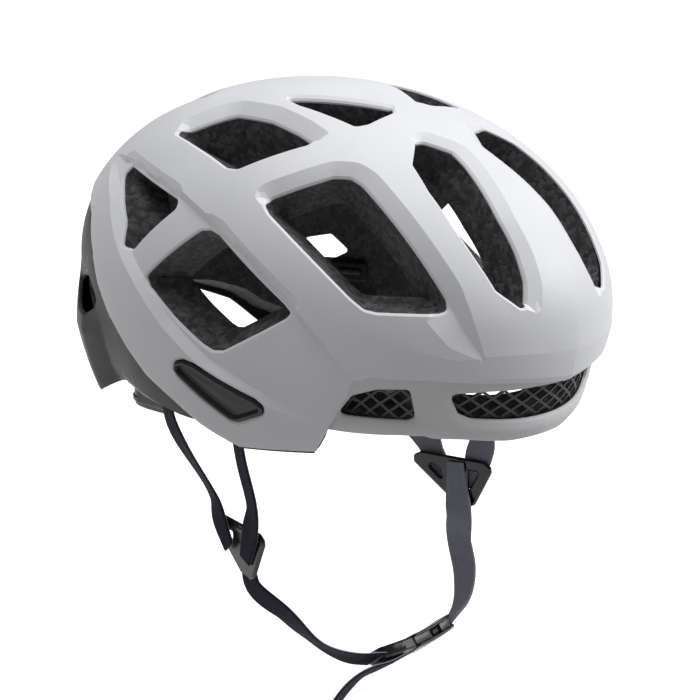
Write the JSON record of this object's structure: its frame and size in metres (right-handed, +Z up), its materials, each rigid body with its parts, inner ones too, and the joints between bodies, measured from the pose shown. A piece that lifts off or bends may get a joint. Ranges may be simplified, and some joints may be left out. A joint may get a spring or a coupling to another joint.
{
  "type": "cycling helmet",
  "caption": "Vented road cycling helmet with a pale shell, dark rear shell, adjustable head ring with a dial, webbing straps and a chin buckle.",
  "frame": {"origin": "on the midplane, at half the shell's length, at the height of the brow band's lowest front edge: the head enters here from below", "axes": "+Z up through the crown, -Y towards the front of the helmet, -X towards the wearer's right"},
  "size_m": [0.1983, 0.2829, 0.2903],
  "materials": {
    "white_shell": "satin white in-moulded polycarbonate",
    "brow_band": "satin pale grey",
    "dark_shell": "satin charcoal",
    "foam": "dark beaded foam",
    "black_plastic": "moulded, fine grain",
    "ring_plastic": "smooth flexible plastic",
    "dial_rubber": "soft ribbed grip",
    "net": "open diamond net",
    "pad_cloth": "brushed knit over foam",
    "webbing": "woven polyester"
  },
  "bodies": {
    "helmet": {"outer_shell": "white_shell", "brow_shell": "brow_band", "rear_shell": "dark_shell", "eps_liner": "foam", "side_pod_left": "black_plastic", "side_pod_right": "black_plastic", "brow_net_centre": "net", "brow_net_left": "net", "brow_net_right": "net", "brow_pad": "pad_cloth", "crown_pad_centre": "pad_cloth", "crown_pad_left": "pad_cloth", "crown_pad_right": "pad_cloth", "temple_anchor_left": "ring_plastic", "temple_anchor_right": "ring_plastic", "strap_front_left": "webbing", "strap_front_right": "webbing", "strap_rear_left": "webbing", "strap_rear_right": "webbing", "strap_anchor_front_left": "ring_plastic", "strap_anchor_front_right": "ring_plastic", "strap_anchor_rear_left": "ring_plastic", "strap_anchor_rear_right": "ring_plastic", "buckle_socket": "black_plastic", "chin_strap_left": "webbing", "chin_strap_right": "webbing"},
    "arms": {"cradle_arm_left": "ring_plastic", "cradle_arm_right": "ring_plastic"},
    "cradle": {"cradle": "ring_plastic", "dial_housing": "dark_shell", "occipital_pad_left": "pad_cloth", "occipital_pad_right": "pad_cloth"},
    "dial": {"dial": "dial_rubber", "dial_pinion": "ring_plastic"},
    "divider_left": {"divider_left": "black_plastic"},
    "divider_right": {"divider_right": "black_plastic"},
    "buckle_plug": {"buckle_plug": "black_plastic", "strap_tail": "webbing"},
    "prong_left": {"prong_left": "black_plastic"},
    "prong_right": {"prong_right": "black_plastic"}
  },
  "joints": [
    {"name": "height_adjust", "type": "hinge", "parent": "helmet", "child": "arms", "pos_m": [0, -0.044, 0.022], "axis": [-1, 0, 0], "range_deg": [0, 6]},
    {"name": "ring_tighten", "type": "slide", "parent": "arms", "child": "cradle", "axis": [0, -1, 0], "range_m": [0, 0.012]},
    {"name": "dial_turn", "type": "hinge", "parent": "cradle", "child": "dial", "pos_m": [0, 0.105, -0.014], "axis": [0, 1, 0], "range_deg": [0, 720]},
    {"name": "divider_slide_left", "type": "slide", "parent": "helmet", "child": "divider_left", "axis": [0, 0, 1], "range_m": [-0.006, 0.008]},
    {"name": "divider_slide_right", "type": "slide", "parent": "helmet", "child": "divider_right", "axis": [0, 0, 1], "range_m": [-0.006, 0.008]},
    {"name": "buckle_release", "type": "slide", "parent": "helmet", "child": "buckle_plug", "axis": [-0.9962, 0, -0.0872], "range_m": [0, 0.03], "deforming": ["chin_strap_right"]},
    {"name": "prong_squeeze_right", "type": "hinge", "parent": "buckle_plug", "child": "prong_right", "pos_m": [0.0135, -0.03616, -0.12227], "axis": [-0.0714, 0.5736, 0.816], "range_deg": [0, 4], "stiffness_Nm_per_rad": 0.12},
    {"name": "prong_squeeze_left", "type": "hinge", "parent": "buckle_plug", "child": "prong_left", "pos_m": [0.01413, -0.02584, -0.12947], "axis": [0.0714, -0.5736, -0.816], "range_deg": [0, 4], "stiffness_Nm_per_rad": 0.12}
  ],
  "couplings": [
    {"joint": "dial_turn", "follows": "ring_tighten", "rad_per_m": 1047.2}
  ]
}
